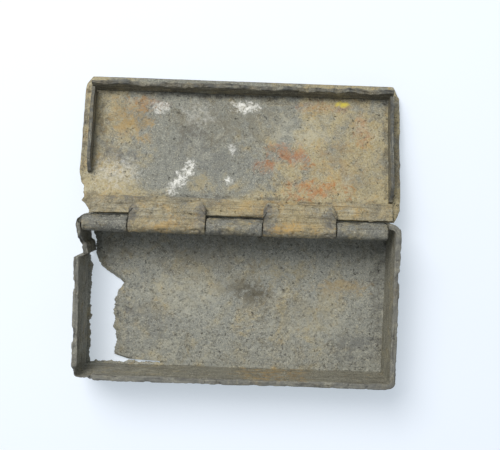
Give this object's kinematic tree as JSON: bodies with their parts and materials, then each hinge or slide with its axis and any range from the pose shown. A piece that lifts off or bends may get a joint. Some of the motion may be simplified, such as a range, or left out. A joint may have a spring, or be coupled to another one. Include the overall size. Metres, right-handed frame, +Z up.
{
  "type": "snuff box",
  "caption": "Worn rectangular metal pocket box with a deep tray, a shallow lid on a barrel hinge, a torn floor and a snapped left wall; the lid lies thrown back.",
  "frame": {"origin": "centre of the tray's underside, on the table", "axes": "+X along the hinge to the right, +Y from the front wall to the hinge and the thrown-back lid, +Z up"},
  "size_m": [0.0784, 0.0737, 0.0154],
  "materials": {
    "floor": "matt, corroded",
    "wall": "matt, corroded",
    "tray_knuckle": "matt, corroded",
    "pin": "matt, corroded",
    "lid_plate": "matt, corroded",
    "lid_strip": "matt, corroded",
    "lid_rail": "matt, corroded",
    "lid_knuckle": "matt, corroded"
  },
  "bodies": {
    "base": {"base_floor": "floor", "base_front_wall": "wall", "base_back_wall": "wall", "base_hinge_rail": "wall", "base_knuckle_left": "tray_knuckle", "base_knuckle_middle": "tray_knuckle", "base_knuckle_right": "tray_knuckle", "hinge_pin": "pin"},
    "lid": {"lid_plate": "lid_plate", "lid_front_strip": "lid_strip", "lid_left_strip": "lid_strip", "lid_right_strip": "lid_strip", "lid_hinge_rail": "lid_rail", "lid_knuckle_left": "lid_knuckle", "lid_knuckle_right": "lid_knuckle"}
  },
  "joints": [
    {"name": "lid_hinge", "type": "hinge", "parent": "base", "child": "lid", "pos_m": [0, 0.01775, 0.0135], "axis": [1, 0, 0], "range_deg": [0, 196.13]}
  ]
}
